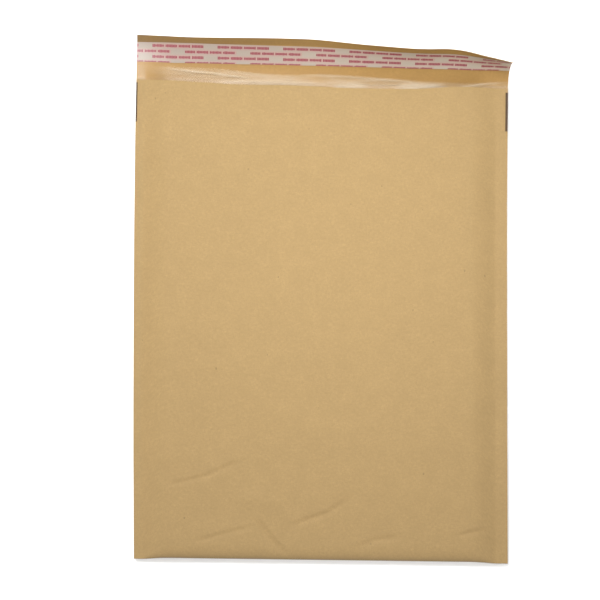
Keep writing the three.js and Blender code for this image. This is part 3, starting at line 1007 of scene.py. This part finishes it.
def bubble_centres(web, sizes):
    """Places of the bubbles in close rows, on the front and on the back."""
    row_gap = sizes.pitch * math.sqrt(3) / 2
    bottom = web.nose + web.fold_pull + sizes.bubble_width / 2
    top = web.length - sizes.plain_at_mouth - sizes.bubble_width / 2
    reach = web.side - max(web.seam_left, web.seam_right) - web.slope * SLOPE_WITHOUT
    for row in range(int((top - bottom) / row_gap) + 1):
        y = bottom + row * row_gap
        shift = sizes.pitch / 2 * (row % 2)
        count = int(reach / sizes.pitch)
        for column in range(-count - 1, count + 2):
            x = column * sizes.pitch + shift
            if abs(x) < reach:
                yield x, y


class PADDED_ENVELOPE_OT_lining(bpy.types.Operator):
    """Fold the bubble film inside the paper and raise its bubbles"""

    bl_idname = "padded_envelope.lining"
    bl_label = "Bubble Lining"
    bl_options = {"REGISTER", "UNDO"}

    def execute(self, context):
        sizes = context.scene.lining_sizes
        colours = context.scene.envelope_colours
        web = FoldedWeb(context.scene.envelope_sizes, context.scene.flap_sizes)
        columns = stations(web.side, EDGE_STRIP, *FILM_ACROSS)
        back = [1 - (1 - t) ** CLOSING_POWER for t in spread(0, 1, FILM_STEPS[BACK])]
        rows = web_rows(FILM_STEPS)[: -FILM_STEPS[BACK] - 1]
        rows += [(BACK, t) for t in back]
        rows += [(FLAP, t) for t in spread(0, 1, LIP_ROWS)] + [(FLAP, 1.0)]
        bm = flat_slab(len(columns), len(rows))
        label_faces(bm, lambda i, j: (columns[i] + web.side, j * FILM_ROW))
        lip_from = len(rows) - LIP_ROWS - ROWS_BELOW_LIP
        for face in bm.faces:
            on_lip = min(vert.co.y for vert in face.verts) >= lip_from
            face.material_index = 0 if on_lip else 1
        haze_and_painted_light = bm.verts.layers.float.new("haze_and_painted_light")
        for vert in bm.verts:
            x, row = columns[round(vert.co.x)], rows[round(vert.co.y)]
            point, vert[haze_and_painted_light] = film_place(web, sizes, x, row, vert.co.z)
            vert.co = web.settled(point)
        self.raise_bubbles(bm, web, sizes)
        materials = [lip_film(colours), bubble_film(colours)]
        piece = built_on(object_from(bm, "bubble_film", materials), "bubble_lining")
        return {"FINISHED"}

    def raise_bubbles(self, bm, web, sizes):
        proto = bubble_proto(sizes.bubble_sides)
        shape = [vert.co.copy() for vert in proto.vertices]
        radius = sizes.bubble_width / 2
        base = web.half_paper + LINING_CLEARANCE + sizes.film / 2
        for stretch in (FRONT, BACK):
            for x, y in bubble_centres(web, sizes):
                uneven = 1 - UNEVEN_SHARE * abs(wave(x, y, UNEVEN_LENGTH, UNEVEN_SEEDS[stretch]))
                corners = []
                for corner in shape:
                    px, py = x + corner.x * radius, y + corner.y * radius
                    if stretch == FRONT:
                        py = y - corner.y * radius
                        t = (py - through(MOUTH, px)) / (web.nose_centre(px) - through(MOUTH, px))
                    else:
                        t = (py - web.nose_centre(px)) / (web.length - web.nose_centre(px))
                    point, inward = web.place(px, stretch, t, FILM)
                    depth = base + corner.z * sizes.bubble_height * uneven
                    corners.extend(web.settled(point + inward * depth))
                proto.vertices.foreach_set("co", corners)
                bm.from_mesh(proto)
        bpy.data.meshes.remove(proto)


FLAP_SLAB_ROWS = 16
# Wavelengths of the unevenness of a slab's two long edges, and how far apart their noise lies
RAGGED_LOW, RAGGED_HIGH, RAGGED_APART = 0.021, 0.017, 5


def flap_slab(web, margin, width, depth, thick, ragged, seed):
    """A thin slab along the flap, its two long edges slightly uneven."""
    columns = stations(web.side, EDGE_STRIP, *FLAP_ACROSS)
    rows = spread(0, 1, FLAP_SLAB_ROWS) + [1.0]
    bm = flat_slab(len(columns), len(rows))
    label_faces(bm, lambda i, j: (columns[i] + web.side, width * (1 - rows[j])))
    for face in bm.faces:
        face.material_index = 0
    for vert in bm.verts:
        x, t = columns[round(vert.co.x)], rows[round(vert.co.y)]
        low = web.flap_length - margin - width + ragged * wave(x, 0, RAGGED_LOW, seed)
        high = web.flap_length - margin + ragged * wave(x, 0, RAGGED_HIGH, seed + RAGGED_APART)
        point, inward = web.flap_point(x, lerp(low, high, t))
        vert.co = web.settled(point + inward * (depth + vert.co.z * thick))
    return bm


# Depth from the middle of the paper, thickness, unevenness of the long edges and its place in the noise
STRIP_LAY = (0.00022, 0.00012, 0.0003, 2.5)
LINER_LAY = (0.00040, 0.00008, 0.00012, 6.5)


class PADDED_ENVELOPE_OT_adhesive(bpy.types.Operator):
    """Lay the adhesive along the flap"""

    bl_idname = "padded_envelope.adhesive"
    bl_label = "Adhesive Strip"
    bl_options = {"REGISTER", "UNDO"}

    def execute(self, context):
        flap = context.scene.flap_sizes
        web = FoldedWeb(context.scene.envelope_sizes, flap)
        bm = flap_slab(web, flap.strip_margin, flap.strip_width, *STRIP_LAY)
        piece = object_from(bm, "adhesive", [adhesive(context.scene.envelope_colours)])
        built_on(piece, "adhesive_strip")
        return {"FINISHED"}


class PADDED_ENVELOPE_OT_liner(bpy.types.Operator):
    """Lay the printed release liner over the adhesive"""

    bl_idname = "padded_envelope.liner"
    bl_label = "Release Liner"
    bl_options = {"REGISTER", "UNDO"}

    def execute(self, context):
        flap = context.scene.flap_sizes
        sizes = context.scene.envelope_sizes
        web = FoldedWeb(sizes, flap)
        bm = flap_slab(web, flap.liner_margin, flap.liner_width, *LINER_LAY)
        piece = object_from(bm, "liner", [liner_paper(context.scene.envelope_colours, sizes)])
        built_on(piece, "release_liner")
        return {"FINISHED"}


# ---------------------------------------------------------------- stage

FLOOR_SIZE = 8.0
# How far below the envelope the floor lies, so that the two don't share a plane
FLOOR_DROP = 0.0003
# The camera looks almost straight down. Its turn is in degrees.
CAMERA_PLACE = (-0.0385, -0.0322)
CAMERA_TURN = (1.53, -1.10, 0.19)
CAMERA_SENSOR = 36.0
KEY_PLACE, KEY_SIZE = Vector((-0.235, 0.45, 0.92)), 0.34
POOL_PLACE, POOL_SIZE = Vector((0.04, 0.063, 1.30)), 0.20


class PADDED_ENVELOPE_OT_stage(bpy.types.Operator):
    """Set the white floor, the lamps, the room and the camera"""

    bl_idname = "padded_envelope.stage"
    bl_label = "Stage"
    bl_options = {"REGISTER", "UNDO"}

    def execute(self, context):
        scene = context.scene
        settings = scene.stage_settings
        self.floor(scene.envelope_colours)
        self.lamp("key", KEY_PLACE, KEY_SIZE, settings.key, KEY_PLACE, math.pi)
        self.lamp("pool", POOL_PLACE, POOL_SIZE, settings.pool, Vector((0, 0, 1)), settings.pool_spread)
        world = bpy.data.worlds.new("white_room")
        world.use_nodes = True
        background = world.node_tree.nodes["Background"]
        background.inputs["Color"].default_value = (1.0, 1.0, 1.0, 1.0)
        background.inputs["Strength"].default_value = settings.sky
        scene.world = world
        camera = bpy.data.cameras.new("camera")
        camera.lens = settings.lens
        camera.sensor_width = CAMERA_SENSOR
        holder = bpy.data.objects.new("camera", camera)
        holder.location = (*CAMERA_PLACE, settings.height)
        holder.rotation_euler = Euler([math.radians(angle) for angle in CAMERA_TURN])
        scene.collection.objects.link(holder)
        scene.camera = holder
        scene.view_settings.view_transform = "Standard"
        return {"FINISHED"}

    def floor(self, colours):
        bm = bmesh.new()
        bmesh.ops.create_grid(bm, x_segments=4, y_segments=4, size=FLOOR_SIZE / 2)
        bmesh.ops.translate(bm, vec=(0, 0, CAD_BOX[0].z - FLOOR_DROP), verts=bm.verts)
        object_from(bm, "floor", [floor_paint(colours)])

    def lamp(self, name, place, size, power, away, spread_angle):
        """A square lamp that shines against the direction away."""
        data = bpy.data.lights.new(name, "AREA")
        data.size = size
        data.energy = power
        data.spread = spread_angle
        lamp = bpy.data.objects.new(name, data)
        lamp.location = place
        lamp.rotation_euler = away.to_track_quat("Z", "Y").to_euler()
        bpy.context.scene.collection.objects.link(lamp)


# ---------------------------------------------------------------- the add-on

MAKERS = (
    PADDED_ENVELOPE_OT_stage,
    PADDED_ENVELOPE_OT_kraft,
    PADDED_ENVELOPE_OT_lining,
    PADDED_ENVELOPE_OT_adhesive,
    PADDED_ENVELOPE_OT_liner,
)


class PADDED_ENVELOPE_PT_panel(bpy.types.Panel):
    """Makes each piece of the envelope and its stage"""

    bl_idname = "PADDED_ENVELOPE_PT_panel"
    bl_label = "Padded Envelope"
    bl_space_type = "VIEW_3D"
    bl_region_type = "UI"
    bl_category = "Envelope"

    def draw(self, context):
        for maker in MAKERS:
            self.layout.operator(maker.bl_idname)


SETTINGS = {
    "envelope_sizes": EnvelopeSizes,
    "flap_sizes": FlapSizes,
    "lining_sizes": LiningSizes,
    "envelope_colours": EnvelopeColours,
    "stage_settings": StageSettings,
}


def register():
    for cls in (*SETTINGS.values(), *MAKERS, PADDED_ENVELOPE_PT_panel):
        bpy.utils.register_class(cls)
    for name, group in SETTINGS.items():
        setattr(bpy.types.Scene, name, PointerProperty(type=group))


def unregister():
    for name in SETTINGS:
        delattr(bpy.types.Scene, name)
    for cls in (PADDED_ENVELOPE_PT_panel, *reversed(MAKERS), *reversed(SETTINGS.values())):
        bpy.utils.unregister_class(cls)


def main():
    register()
    bpy.ops.padded_envelope.stage()
    bpy.ops.padded_envelope.kraft()
    bpy.ops.padded_envelope.lining()
    bpy.ops.padded_envelope.adhesive()
    bpy.ops.padded_envelope.liner()


if __name__ == "__main__":
    main()
